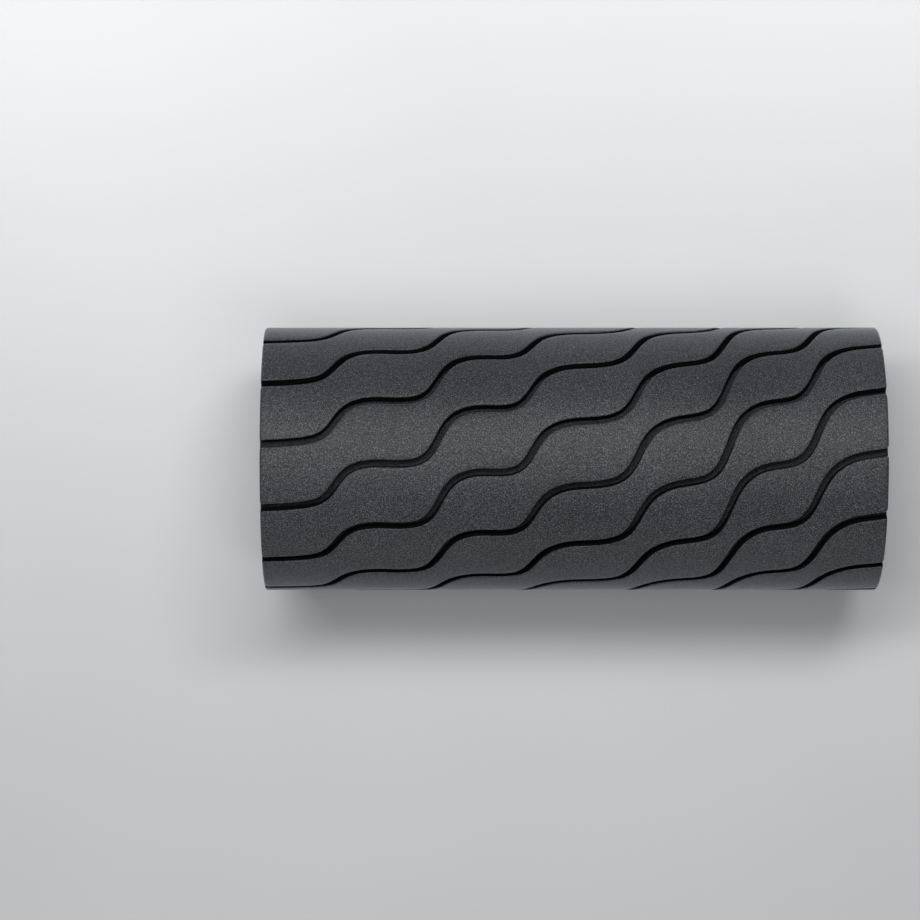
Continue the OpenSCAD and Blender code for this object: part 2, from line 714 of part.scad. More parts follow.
foam_sleeve();
core_tube();
end_cap_control();
end_cap_plain();
control_fascia();
plain_fascia();
fascia_gaskets();
end_cap_screws();
power_button();
plus_button();
minus_button();
power_plunger();
plus_plunger();
minus_plunger();
tact_switches();
light_pipes();
status_leds();
control_board();
control_board_screws();
jack_housing();
jack_pin();
panel_connector();
ribbon_cable();
chassis_lower();
chassis_upper();
chassis_screws();
motor_can();
motor_end_bell();
motor_magnets();
motor_brushes();
motor_terminals();
motor_sleeves();
motor_shaft();
rotor_core();
rotor_windings();
commutator();
front_weight();
rear_weight();
weight_screws();
bearing_outer_rings();
bearing_inner_rings();
front_balls();
front_cage();
rear_balls();
rear_cage();
battery_cells();
cell_holders();
cell_strips();
battery_pads();
battery_insulator();
battery_board();
battery_leads();
motor_leads();
main_board();
main_board_screws();
board_chips();
board_capacitors();
board_connectors();
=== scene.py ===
"""Looks for a vibrating foam roller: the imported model's nodes get their finishes, and the pieces that
show (fascias, buttons, lights, charging socket and foam sleeve) are made here in full detail.
The roller's axis is X, the end with the buttons is at +X, and it lies on a floor below -Z. Metres."""

import bmesh
import bpy
import mathutils
import numpy as np
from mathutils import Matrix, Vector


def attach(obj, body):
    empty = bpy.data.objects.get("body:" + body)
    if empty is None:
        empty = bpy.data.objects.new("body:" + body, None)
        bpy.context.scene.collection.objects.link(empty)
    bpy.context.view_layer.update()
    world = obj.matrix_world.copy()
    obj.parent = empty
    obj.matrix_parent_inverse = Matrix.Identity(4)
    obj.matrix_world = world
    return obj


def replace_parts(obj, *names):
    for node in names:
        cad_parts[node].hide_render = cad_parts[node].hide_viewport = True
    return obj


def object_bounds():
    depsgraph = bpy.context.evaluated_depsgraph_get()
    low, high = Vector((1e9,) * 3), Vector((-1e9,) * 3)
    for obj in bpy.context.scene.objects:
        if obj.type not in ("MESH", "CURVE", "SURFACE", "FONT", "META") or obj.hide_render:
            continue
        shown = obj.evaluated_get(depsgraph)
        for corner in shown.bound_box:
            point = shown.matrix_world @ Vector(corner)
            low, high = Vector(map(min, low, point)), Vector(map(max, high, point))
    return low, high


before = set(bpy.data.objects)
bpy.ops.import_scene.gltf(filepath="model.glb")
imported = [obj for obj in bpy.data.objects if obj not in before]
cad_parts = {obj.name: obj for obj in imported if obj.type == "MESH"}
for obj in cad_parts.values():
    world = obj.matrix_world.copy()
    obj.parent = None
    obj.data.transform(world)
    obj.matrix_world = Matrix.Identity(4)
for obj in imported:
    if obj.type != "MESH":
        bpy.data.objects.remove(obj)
cad_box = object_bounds()


# ---------------------------------------------------------------------------------------------------
# Chassis: two half shells of natural ABS that carry everything inside the tube.
# Injection moulded, with a fine spark texture from the mould and faint flow marks, and screwed
# together along the split. The screws are zinc-plated, with turned heads.
# ---------------------------------------------------------------------------------------------------

MM = 0.001


class Signal:
    """A value inside a material. Arithmetic on it adds Math nodes to that material."""

    def __init__(self, finish, socket):
        self.finish = finish
        self.socket = socket

    def maths(self, operation, first, second):
        return self.finish.node("ShaderNodeMath", {"operation": operation}, {0: first, 1: second})

    def __add__(self, other):
        return self.maths("ADD", self, other)

    def __mul__(self, other):
        return self.maths("MULTIPLY", self, other)

    __radd__ = __add__
    __rmul__ = __mul__


class Finish:
    """A material round one Principled shader, whose unvarying sockets are given by name."""

    def __init__(self, name, constants):
        self.material = bpy.data.materials.new(name)
        self.material.use_nodes = True
        self.tree = self.material.node_tree
        self.shader = self.tree.nodes["Principled BSDF"]
        for socket, value in constants.items():
            self.shader.inputs[socket].default_value = value

    def node(self, kind, settings, sockets, out=0):
        """Adds a node: its settings first, a ramp's stops among them, then its sockets' values or links."""
        made = self.tree.nodes.new(kind)
        for setting, value in settings.items():
            if setting == "stops":
                ramp = made.color_ramp.elements
                while len(ramp) < len(value):
                    ramp.new(1)
                for element, (place, colour) in zip(ramp, value):
                    element.position = place
                    element.color = colour
            else:
                setattr(made, setting, value)
        for socket, value in sockets.items():
            if isinstance(value, Signal):
                self.tree.links.new(value.socket, made.inputs[socket])
            else:
                made.inputs[socket].default_value = value
        return Signal(self, made.outputs[out])

    def place(self, scale=(1, 1, 1)):
        """Object coordinates, stretched by scale."""
        plain = self.node("ShaderNodeTexCoord", {}, {}, "Object")
        return self.node("ShaderNodeMapping", {}, {"Vector": plain, "Scale": scale})

    def noise(self, scale, stretch=(1, 1, 1), detail=2.0, roughness=0.5):
        """Cloudy noise from 0 to 1, with scale in turns per metre."""
        return self.node("ShaderNodeTexNoise", {}, {
            "Vector": self.place(stretch), "Scale": scale, "Detail": detail, "Roughness": roughness}, "Fac")

    def ramp(self, value, *stops):
        """Looks value up in a row of (place, colour) stops."""
        full = [(place, tuple(colour) + (1,) * (4 - len(colour))) for place, colour in stops]
        return self.node("ShaderNodeValToRGB", {"stops": full}, {"Fac": value}, "Color")

    def colour(self, value):
        self.tree.links.new(value.socket, self.shader.inputs["Base Color"])

    def rough(self, value):
        self.tree.links.new(value.socket, self.shader.inputs["Roughness"])

    def bump(self, height, depth, strength=1.0):
        """Raises the surface by height times depth, in metres."""
        out = self.node("ShaderNodeBump", {}, {"Height": height, "Distance": depth, "Strength": strength})
        self.tree.links.new(out.socket, self.shader.inputs["Normal"])


def shade(tint, factor):
    """A colour made lighter or darker by a factor."""
    return tuple(min(1.0, channel * factor) for channel in tint[:3]) + (1,)


def moulded_plastic(name, tint, roughness, texture=0.03 * MM, grain=1800):
    """Injection-moulded plastic: spark-eroded grain, slight cloudiness and uneven gloss."""
    plastic = Finish(name, {"Roughness": roughness, "IOR": 1.5})
    cloud = plastic.noise(35, detail=3)
    fine = plastic.noise(grain, detail=3, roughness=0.65)
    plastic.colour(plastic.ramp(cloud * 0.6 + fine * 0.4, (0.3, shade(tint, 0.86)), (0.7, shade(tint, 1.14))))
    plastic.rough(cloud * 0.1 + fine * 0.12 + (roughness - 0.11))
    plastic.bump(fine, texture)
    return plastic


def coat(finish, *nodes):
    """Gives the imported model's nodes a finish."""
    for node in nodes:
        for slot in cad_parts[node].material_slots:
            slot.material = finish.material


def turned_steel(name, tint, roughness, lines=2600, metallic=1.0):
    """Metal that was turned or ground about X: fine lines round the axis and faint stains."""
    steel = Finish(name, {"Metallic": metallic, "Roughness": roughness})
    scratches = steel.noise(lines, stretch=(1, 0.02, 0.02), detail=2)
    stain = steel.noise(60, detail=3)
    steel.colour(steel.ramp(
        stain * 0.5 + scratches * 0.5, (0.3, shade(tint, 0.82)), (0.7, shade(tint, 1.12))))
    steel.rough(stain * 0.12 + scratches * 0.16 + (roughness - 0.14))
    steel.bump(scratches, 0.012 * MM)
    return steel


coat(moulded_plastic("chassis_abs", (0.72, 0.72, 0.69), 0.55), "chassis_lower", "chassis_upper")
coat(
    turned_steel("zinc_screw", (0.62, 0.62, 0.6), 0.32),
    "chassis_screws", "end_cap_screws", "control_board_screws", "main_board_screws", "weight_screws",
)


# ---------------------------------------------------------------------------------------------------
# Motor: a can-type direct-current motor whose shaft sticks out at both ends.
# Its can is deep-drawn zinc-plated steel, the end bell is moulded, and the armature is a stack of
# laminations wound with enamelled copper. It sits in two rubber sleeves in the chassis ribs.
# ---------------------------------------------------------------------------------------------------

coat(turned_steel("drawn_can", (0.58, 0.59, 0.6), 0.36, lines=900), "motor_can")
coat(turned_steel("ground_shaft", (0.72, 0.72, 0.74), 0.2, lines=5200), "motor_shaft")
coat(moulded_plastic("end_bell_nylon", (0.03, 0.03, 0.032), 0.5), "motor_end_bell")

laminations = Finish("lamination_stack", {"Metallic": 1.0})
sheets = laminations.node("ShaderNodeTexWave", {"bands_direction": "X"}, {
    "Vector": laminations.place(), "Scale": 320, "Distortion": 0.0}, "Fac")
laminations.colour(laminations.ramp(sheets, (0.1, (0.1, 0.1, 0.105)), (0.6, (0.36, 0.36, 0.38))))
laminations.rough(sheets * 0.2 + 0.35)
laminations.bump(sheets, 0.05 * MM)
coat(laminations, "rotor_core")

windings = Finish("enamelled_copper", {"Metallic": 1.0, "Coat Roughness": 0.1})
strands = windings.node("ShaderNodeTexWave", {"bands_direction": "DIAGONAL"}, {
    "Vector": windings.place(), "Scale": 500, "Distortion": 1.5, "Detail": 1.0, "Detail Scale": 0.4}, "Fac")
windings.colour(windings.ramp(strands, (0.1, (0.22, 0.07, 0.03)), (0.7, (0.72, 0.3, 0.12))))
windings.rough(strands * 0.1 + 0.22)
windings.bump(strands, 0.12 * MM)
coat(windings, "rotor_windings")
coat(turned_steel("commutator_copper", (0.7, 0.34, 0.18), 0.3, lines=4000), "commutator")

magnets = Finish("sintered_ferrite", {"Roughness": 0.6})
pores = magnets.noise(1400, detail=4, roughness=0.7)
magnets.colour(magnets.ramp(pores, (0.3, (0.035, 0.035, 0.038)), (0.7, (0.09, 0.09, 0.095))))
magnets.rough(pores * 0.3 + 0.45)
magnets.bump(pores, 0.05 * MM)
coat(magnets, "motor_magnets")

brushes = Finish("pressed_graphite", {"Metallic": 0.3})
dust = brushes.noise(2200, detail=4, roughness=0.7)
brushes.colour(brushes.ramp(dust, (0.3, (0.02, 0.02, 0.021)), (0.75, (0.075, 0.075, 0.08))))
brushes.rough(dust * 0.25 + 0.4)
brushes.bump(dust, 0.03 * MM)
coat(brushes, "motor_brushes")
coat(turned_steel("plated_brass", (0.8, 0.7, 0.42), 0.28, lines=1500), "motor_terminals", "jack_pin")


def rubber(name, tint, roughness=0.62):
    """Moulded rubber: matt, faintly pitted, with a dusty bloom in broad patches."""
    made = Finish(name, {"Roughness": roughness, "IOR": 1.45})
    bloom = made.noise(28, detail=4, roughness=0.6)
    pits = made.noise(2600, detail=2)
    made.colour(made.ramp(bloom * 0.7 + pits * 0.3, (0.3, shade(tint, 0.8)), (0.7, shade(tint, 1.3))))
    made.rough(bloom * 0.14 + pits * 0.08 + (roughness - 0.11))
    made.bump(pits, 0.02 * MM)
    return made


coat(rubber("damping_rubber", (0.03, 0.03, 0.03)), "motor_sleeves")


# ---------------------------------------------------------------------------------------------------
# Eccentric weights and bearings: two half-round weights of sintered steel, held on the shaft by set
# screws, shake the roller as they turn. The shaft runs in two small ball bearings.
# ---------------------------------------------------------------------------------------------------

weights = Finish("sintered_steel", {"Metallic": 1.0})
grit = weights.noise(1600, detail=5, roughness=0.75)
oil = weights.noise(55, detail=2)
weights.colour(weights.ramp(grit * 0.6 + oil * 0.4, (0.3, (0.27, 0.26, 0.24)), (0.7, (0.5, 0.48, 0.44))))
weights.rough(grit * 0.25 + oil * 0.15 + 0.25)
weights.bump(grit, 0.06 * MM)
coat(weights, "front_weight", "rear_weight")
coat(
    turned_steel("ground_race", (0.78, 0.78, 0.8), 0.14, lines=6000),
    "bearing_outer_rings", "bearing_inner_rings", "front_balls", "rear_balls",
)
coat(turned_steel("pressed_cage", (0.74, 0.6, 0.33), 0.34, lines=1800), "front_cage", "rear_cage")


# ---------------------------------------------------------------------------------------------------
# Battery: four cylindrical lithium cells in heat-shrink sleeves, clipped into two nylon holders and
# joined by spot-welded nickel strips, with a protection board on a sheet of barley paper.
# ---------------------------------------------------------------------------------------------------

sleeve_wrap = Finish("heat_shrink", {"Coat Roughness": 0.15, "Coat Weight": 0.3})
creases = sleeve_wrap.noise(70, stretch=(0.15, 1, 1), detail=3)
gauge = sleeve_wrap.noise(900, detail=2)
sleeve_wrap.colour(sleeve_wrap.ramp(
    creases * 0.7 + gauge * 0.3, (0.3, (0.03, 0.15, 0.26)), (0.7, (0.06, 0.25, 0.38))))
sleeve_wrap.rough(creases * 0.15 + 0.28)
sleeve_wrap.bump(creases, 0.15 * MM)
coat(sleeve_wrap, "battery_cells")
coat(moulded_plastic("holder_nylon", (0.025, 0.025, 0.027), 0.5), "cell_holders")
coat(turned_steel("nickel_strip", (0.72, 0.7, 0.66), 0.3, lines=1200), "cell_strips")
coat(rubber("pad_foam", (0.05, 0.05, 0.055), 0.85), "battery_pads")

paper = Finish("barley_paper", {})
fibres = paper.noise(900, stretch=(0.25, 1, 1), detail=5, roughness=0.7)
paper.colour(paper.ramp(fibres, (0.3, (0.5, 0.43, 0.27)), (0.7, (0.72, 0.65, 0.45))))
paper.rough(fibres * 0.2 + 0.65)
paper.bump(fibres, 0.05 * MM)
coat(paper, "battery_insulator")


def wire_jacket(name, tint):
    """Soft silicone jacket: satin, with faint drag lines and dust."""
    jacket = Finish(name, {"Coat Roughness": 0.3, "Coat Weight": 0.15})
    drag = jacket.noise(1200, stretch=(0.06, 1, 1), detail=2)
    speck = jacket.noise(500, detail=3)
    jacket.colour(jacket.ramp(drag * 0.5 + speck * 0.5, (0.3, shade(tint, 0.8)), (0.7, shade(tint, 1.2))))
    jacket.rough(drag * 0.15 + 0.36)
    jacket.bump(drag, 0.02 * MM)
    return jacket


coat(wire_jacket("red_silicone", (0.42, 0.03, 0.025)), "battery_leads")
coat(wire_jacket("black_silicone", (0.03, 0.03, 0.032)), "motor_leads")


# ---------------------------------------------------------------------------------------------------
# Circuit boards: glass-epoxy boards with green solder mask over etched copper.
# The main board lies on the chassis shelf, the control board stands behind the buttons, and a flat
# ribbon joins them.
# ---------------------------------------------------------------------------------------------------

mask = Finish("solder_mask", {"Coat Weight": 0.4, "Coat Roughness": 0.12})
tracks = mask.node("ShaderNodeTexBrick", {"offset": 0.4, "squash": 1.6}, {
    "Vector": mask.place(), "Scale": 260.0, "Mortar Size": 0.09, "Mortar Smooth": 0.2,
    "Color1": (0, 0, 0, 1), "Color2": (0.1, 0.1, 0.1, 1), "Mortar": (1, 1, 1, 1)}, "Color")
weave = mask.noise(1500, detail=1)
mask.colour(mask.ramp(tracks + weave * 0.1, (0.05, (0.008, 0.09, 0.035)), (0.9, (0.02, 0.2, 0.085))))
mask.rough(weave * 0.12 + 0.24)
mask.bump(tracks, 0.035 * MM)
coat(mask, "main_board", "control_board", "battery_board")
coat(moulded_plastic("connector_nylon", (0.78, 0.75, 0.66), 0.42), "board_connectors", "panel_connector")
coat(moulded_plastic("chip_epoxy", (0.025, 0.025, 0.027), 0.42, grain=3200), "board_chips")
coat(moulded_plastic("switch_nylon", (0.03, 0.03, 0.03), 0.4), "tact_switches")
coat(
    moulded_plastic("plunger_nylon", (0.05, 0.05, 0.05), 0.45),
    "power_plunger", "plus_plunger", "minus_plunger",
)

cans = Finish("capacitor_sleeve", {"Coat Weight": 0.5, "Coat Roughness": 0.1})
shrink = cans.noise(160, stretch=(1, 1, 0.3), detail=2)
cans.colour(cans.ramp(shrink, (0.3, (0.02, 0.03, 0.1)), (0.7, (0.05, 0.07, 0.2))))
cans.rough(shrink * 0.15 + 0.25)
cans.bump(shrink, 0.06 * MM)
coat(cans, "board_capacitors")

ribbon = Finish("ribbon_jacket", {})
ways = ribbon.node("ShaderNodeTexWave", {"bands_direction": "Y"}, {
    "Vector": ribbon.place(), "Scale": 125, "Distortion": 0.0}, "Fac")
ribbon.colour(ribbon.ramp(ways, (0.15, (0.22, 0.22, 0.23)), (0.5, (0.5, 0.5, 0.52))))
ribbon.rough(ways * 0.1 + 0.4)
ribbon.bump(ways, 0.15 * MM)
coat(ribbon, "ribbon_cable")

leds = Finish("led_epoxy", {"Coat Weight": 0.6})
phosphor = leds.noise(2500, detail=2)
leds.colour(leds.ramp(phosphor, (0.3, (0.75, 0.72, 0.5)), (0.7, (0.9, 0.88, 0.72))))
leds.rough(phosphor * 0.1 + 0.25)
coat(leds, "status_leds")


# ---------------------------------------------------------------------------------------------------
# Core tube: an extruded ABS tube, 3 mm thick, that the foam is bonded to.
# Drawing it through the die leaves fine lines along its length. Two notches at each end take the
# end caps' keys.
# ---------------------------------------------------------------------------------------------------

tube = Finish("extruded_abs", {"IOR": 1.5})
die_lines = tube.noise(1500, stretch=(0.01, 1, 1), detail=2)
cloud = tube.noise(40, detail=3)
tube.colour(tube.ramp(
    die_lines * 0.4 + cloud * 0.6, (0.3, (0.028, 0.028, 0.03)), (0.7, (0.055, 0.055, 0.058))))
tube.rough(die_lines * 0.15 + 0.4)
tube.bump(die_lines, 0.02 * MM)
coat(tube, "core_tube")
coat(rubber("gasket_foam", (0.16, 0.16, 0.16), 0.9), "fascia_gaskets")


# ---------------------------------------------------------------------------------------------------
# End caps: black ABS cups that plug into the tube, cover its ends and hold the fascias in a seat.
# Injection moulded with a fine spark texture, keyed to the tube and pulled on by four screws each.
# ---------------------------------------------------------------------------------------------------

coat(
    moulded_plastic("shell_abs", (0.022, 0.022, 0.0235), 0.52, texture=0.05 * MM, grain=1500),
    "end_cap_control", "end_cap_plain",
)


# ---------------------------------------------------------------------------------------------------
# Fascias: dished covers of satin black ABS that snap into the end caps over a foam gasket.
# Each has a flat floor whose side climbs to the rim in one curve. The control end's floor is pierced
# for the buttons, the lights and the charging socket, and the plain end's carries a raised ring.
# ---------------------------------------------------------------------------------------------------

half_length = cad_box[1].x
floor_out = half_length - 12 * MM
floor_in = floor_out - 2 * MM
dish_flat_r = 31 * MM
dish_rim_r = 42.6 * MM
dish_top = half_length - 1.7 * MM
fascia_r = 43.9 * MM
fascia_seat = half_length - 8.2 * MM
bead_x = half_length - 5 * MM
bead_out = 0.35 * MM
hole_round = 0.35 * MM
around = 144


def grid_faces(rows, columns, last_row_joins_first=False):
    """Four-sided faces between neighbouring points of a grid whose rows are closed rings."""
    r = np.arange(rows if last_row_joins_first else rows - 1)[:, None]
    c = np.arange(columns)[None, :]
    next_r, next_c = (r + 1) % rows, (c + 1) % columns
    corners = [next_r * columns + c, next_r * columns + next_c, r * columns + next_c, r * columns + c]
    return np.stack([np.broadcast_to(corner, (r.size, c.size)) for corner in corners], -1).reshape(-1, 4)


def revolve(outline, y=0.0, z=0.0, columns=around):
    """A surface of revolution about an axis along X through (y, z). Outline rows are [radius, x]; where
    they run from the top's middle outwards, down the side and back in, the faces point out."""
    radius, x = np.asarray(outline).T
    angle = np.arange(columns) * 2 * np.pi / columns
    points = np.stack([
        np.broadcast_to(x[:, None], (len(x), columns)),
        y + radius[:, None] * np.cos(angle), z + radius[:, None] * np.sin(angle)], -1)
    return points.reshape(-1, 3), grid_faces(len(x), columns)


def join(*parts):
    """Several (points, faces) surfaces as one."""
    points, faces, first = [], [], 0
    for part_points, part_faces in parts:
        points.append(part_points)
        faces += (part_faces + first).tolist()
        first += len(part_points)
    return np.concatenate(points), faces


def quarter(centre_r, centre_x, radius, start, end, steps=6):
    """An arc of [radius, x] rows round a centre, from one angle to another, in degrees up from outwards."""
    turn = np.radians(np.linspace(start, end, steps))
    return np.stack([centre_r + radius * np.cos(turn), centre_x + radius * np.sin(turn)], 1)


def dish_side(rim_r, low, high, steps=30):
    """The dish's side from the floor to a rim: its height follows half a cosine wave."""
    part = np.linspace(0, 1, steps)
    return np.stack([
        dish_flat_r + (rim_r - dish_flat_r) * part, low + (high - low) * (1 - np.cos(np.pi * part)) / 2], 1)


def fascia_wall():
    """The fascia's outline from the floor's edge up the dish, over the rounded rim, down past the snap
    bead to the seat, and back down the underside to the floor's edge there."""
    rim_round = 1 * MM
    bead_foot, bead_flat = 0.6 * MM, 0.3 * MM
    bead = [[0, bead_foot], [bead_out, bead_flat], [bead_out, -bead_flat], [0, -bead_foot]]
    return np.concatenate([
        dish_side(dish_rim_r, floor_out, dish_top),
        quarter(fascia_r - rim_round, dish_top - rim_round, rim_round, 90, 0, 8),
        np.array(bead) + [fascia_r, bead_x],
        [[fascia_r, fascia_seat], [dish_rim_r, fascia_seat]],
        dish_side(dish_rim_r - 0.6 * MM, floor_in, fascia_seat + 1 * MM, 14)[::-1],
    ])


def pierced_floor(x, holes):
    """A flat disc at x, out to the floor's edge, with a round hole at each (y, z, radius)."""
    rings, links = [], []
    for y, z, radius in [(0, 0, dish_flat_r)] + holes:
        angle = np.arange(around) * 2 * np.pi / around
        first = len(rings) * around
        rings.append(np.stack([y + radius * np.cos(angle), z + radius * np.sin(angle)], 1))
        links += [(first + k, first + (k + 1) % around) for k in range(around)]
    flat = [mathutils.Vector(p) for p in np.concatenate(rings)]
    points, _, faces = mathutils.geometry.delaunay_2d_cdt(flat, links, [], 0, 1e-9)[:3]
    points = np.array([tuple(p) for p in points])
    faces = np.array(faces)
    middle = points[faces].mean(1)
    kept = np.hypot(middle[:, 0], middle[:, 1]) < dish_flat_r
    for y, z, radius in holes:
        kept &= np.hypot(middle[:, 0] - y, middle[:, 1] - z) > radius
    return np.column_stack([np.full(len(points), x), points]), faces[kept]


def hole_wall(y, z, radius):
    """A hole through the floor, with its edges rounded on both sides."""
    return revolve(np.concatenate([
        quarter(radius + hole_round, floor_in + hole_round, hole_round, 270, 180, 4),
        quarter(radius + hole_round, floor_out - hole_round, hole_round, 180, 90, 6)]), y, z)


def make_piece(name, parts, finish, body="root", sharp=40, weld=True):
    """A mesh object from (points, faces), smooth except where faces meet at over sharp degrees."""
    points, faces = parts
    mesh = bpy.data.meshes.new(name)
    mesh.from_pydata(points.tolist(), [], list(map(list, faces)))
    if weld:
        shell = bmesh.new()
        shell.from_mesh(mesh)
        bmesh.ops.remove_doubles(shell, verts=shell.verts, dist=0.002 * MM)
        shell.to_mesh(mesh)
        shell.free()
    mesh.validate()
    mesh.polygons.foreach_set("use_smooth", np.ones(len(mesh.polygons), bool))
    mesh.set_sharp_from_angle(angle=np.radians(sharp))
    mesh.materials.append(finish.material)
    piece = bpy.data.objects.new(name, mesh)
    bpy.context.scene.collection.objects.link(piece)
    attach(piece, body)
    return piece


power_r = 9.7 * MM
step_r = 6.2 * MM
step_y = 20 * MM
hole_clearance = 0.3 * MM
light_ring_r = 20 * MM
light_r = 1.1 * MM
light_angles = np.radians([-28, -14, 0, 14, 28])
lights = [(light_ring_r * np.sin(a), light_ring_r * np.cos(a)) for a in light_angles]
jack_z = -22 * MM
jack_r = 4.6 * MM

holes = [(0, 0, power_r + hole_clearance)]
holes += [(side * step_y, 0, step_r + hole_clearance) for side in (-1, 1)]
holes += [(0, jack_z, jack_r + 0.1 * MM)]
holes += [(y, z, light_r + 0.05 * MM) for y, z in lights]
mouths = [(y, z, radius + hole_round) for y, z, radius in holes]
top_points, top_faces = pierced_floor(floor_out, mouths)
under_points, under_faces = pierced_floor(floor_in, mouths)

fascia_black = moulded_plastic("fascia_abs", (0.017, 0.017, 0.018), 0.45, texture=0.035 * MM, grain=2100)
control_dish = make_piece("control_dish", join(
    revolve(fascia_wall()), (top_points, top_faces), (under_points, under_faces[:, ::-1]),
    *[hole_wall(*hole) for hole in holes]), fascia_black)
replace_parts(control_dish, "control_fascia")

ring_in, ring_out, ring_up, ring_round = 12.6 * MM, 14 * MM, 0.5 * MM, 0.3 * MM
raised_ring = np.concatenate([
    [[0, floor_out], [ring_in * 0.5, floor_out], [ring_in, floor_out]],
    quarter(ring_in + ring_round, floor_out + ring_up - ring_round, ring_round, 180, 90, 5),
    quarter(ring_out - ring_round, floor_out + ring_up - ring_round, ring_round, 90, 0, 5),
    [[ring_out, floor_out]]])
plain_points, plain_faces = revolve(np.concatenate([raised_ring, fascia_wall(), [[0, floor_in]]]))
plain_dish = make_piece(
    "plain_dish", (plain_points * [-1, 1, 1], plain_faces[:, ::-1]), fascia_black)
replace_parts(plain_dish, "plain_fascia")


# ---------------------------------------------------------------------------------------------------
# Buttons: silicone-coated keys with dished tops, held in by a flange under the fascia.
# The signs are moulded a quarter of a millimetre proud and printed pale grey.
# ---------------------------------------------------------------------------------------------------

button_top = floor_out + 1.2 * MM
button_round = 0.8 * MM
button_dish = 0.4 * MM
flange_out, flange_t = 1.5 * MM, 1.2 * MM
flange_top = floor_in - 0.05 * MM
post_r = 2.5 * MM
post_end = floor_in - 2.6 * MM
sign_up = 0.25 * MM
sign_half = 0.5 * MM
sign_edge = 0.12 * MM
bar_half = 2.3 * MM


def bar(across, along, reach):
    """Distance from the edge of a straight bar that goes as far as reach both ways, below zero inside it."""
    return np.maximum(np.abs(across) - sign_half, np.abs(along) - reach)


def minus_sign(y, z):
    """One level bar."""
    return bar(z, y, bar_half)


def plus_sign(y, z):
    """Two crossed bars."""
    return np.minimum(bar(z, y, bar_half), bar(y, z, bar_half))


def power_sign(y, z):
    """A ring open at the top, with an upright bar in the opening."""
    ring_radius, opening = 3.3 * MM, np.radians(36)
    ring = np.abs(np.hypot(y, z) - ring_radius) - sign_half
    gap = (opening - np.abs(np.arctan2(y, z))) * ring_radius
    return np.minimum(np.maximum(ring, gap), bar(y, z - 2.9 * MM, 1.7 * MM))


def sign_height(distance):
    """1 inside a sign, falling smoothly to 0 across its edge."""
    part = np.clip(0.5 - distance / (2 * sign_edge), 0, 1)
    return part * part * (3 - 2 * part)


def button(name, body, radius, y, sign, rings):
    """A key of revolution whose dished top is raised where its sign is."""
    flat_r = radius - button_round
    inner = np.linspace(0, flat_r, rings)
    outline = np.concatenate([
        np.stack([inner, button_top - button_dish * (1 - (inner / flat_r) ** 2)], 1),
        quarter(flat_r, button_top - button_round, button_round, 90, 0, 9)[1:],
        [[radius, flange_top], [radius + flange_out, flange_top],
         [radius + flange_out, flange_top - flange_t], [post_r, flange_top - flange_t],
         [post_r, post_end], [0, post_end]]])
    points, faces = revolve(outline, y, columns=180)
    top = points[:, 0] > floor_out + 0.1 * MM
    points[:, 0] += np.where(top, sign_up * sign_height(sign(points[:, 1] - y, points[:, 2])), 0)
    key = make_piece(name, (points, faces), button_black, body)
    print_mask = key.data.attributes.new("sign", "FLOAT", "POINT")
    where = np.empty(len(key.data.vertices) * 3, np.float32)
    key.data.vertices.foreach_get("co", where)
    where = where.reshape(-1, 3)
    mask = sign_height(sign(where[:, 1] - y, where[:, 2]) + 0.5 * sign_edge) * (where[:, 0] > floor_out)
    print_mask.data.foreach_set("value", mask.astype(np.float32))
    return key


button_black = Finish("button_silicone", {"IOR": 1.45})
silk = button_black.noise(3000, detail=3, roughness=0.6)
haze = button_black.noise(60, detail=2)
printed = button_black.node("ShaderNodeAttribute", {"attribute_name": "sign"}, {}, "Fac")
rubber_tint = button_black.ramp(
    silk * 0.5 + haze * 0.5, (0.3, (0.022, 0.022, 0.024)), (0.7, (0.04, 0.04, 0.043)))
print_tint = button_black.ramp(silk, (0.3, (0.36, 0.37, 0.39)), (0.7, (0.5, 0.51, 0.53)))
button_black.colour(button_black.node(
    "ShaderNodeMix", {"data_type": "RGBA"}, {"Factor": printed, "A": rubber_tint, "B": print_tint}, "Result"))
button_black.rough(silk * 0.15 + haze * 0.08 + 0.4)
button_black.bump(silk, 0.02 * MM)

for name, body, radius, y, sign, rings, node in [
    ("power_key_cap", "power_key", power_r, 0.0, power_sign, 64, "power_button"),
    ("plus_key_cap", "plus_key", step_r, step_y, plus_sign, 44, "plus_button"),
    ("minus_key_cap", "minus_key", step_r, -step_y, minus_sign, 44, "minus_button"),
]:
    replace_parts(button(name, body, radius, y, sign, rings), node)


# ---------------------------------------------------------------------------------------------------
# Lights: five frosted acrylic pins that carry the light of the board's diodes to the dish's floor.
# Each has a low domed end and a collar that stops it under the fascia.
# ---------------------------------------------------------------------------------------------------

dome_up = 0.15 * MM
collar_r = 1.8 * MM
pin_foot = floor_out - 9 * MM
turn = np.linspace(np.pi / 2, 0, 7)
pin_outline = np.concatenate([
    np.stack([light_r * np.cos(turn), floor_out + dome_up * np.sin(turn)], 1),
    [[light_r, flange_top], [collar_r, flange_top], [collar_r, floor_in - 1 * MM],
     [light_r, floor_in - 1 * MM], [light_r, pin_foot], [0, pin_foot]]])
frosted = Finish("frosted_acrylic", {"IOR": 1.49, "Coat Weight": 0.2, "Coat Roughness": 0.2})
frost = frosted.noise(2600, detail=3)
frosted.colour(frosted.ramp(frost, (0.3, (0.62, 0.65, 0.68)), (0.7, (0.8, 0.82, 0.84))))
frosted.rough(frost * 0.2 + 0.3)
frosted.bump(frost, 0.01 * MM)
light_pins = make_piece(
    "light_pins", join(*[revolve(pin_outline, y, z, columns=40) for y, z in lights]), frosted)
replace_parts(light_pins, "light_pipes")


# ---------------------------------------------------------------------------------------------------
# Charging socket: a nylon barrel flush with the dish's floor, on a square block that is soldered to
# the board, with a plated centre pin. Its mouth is rounded so that the plug finds its way in.
# ---------------------------------------------------------------------------------------------------

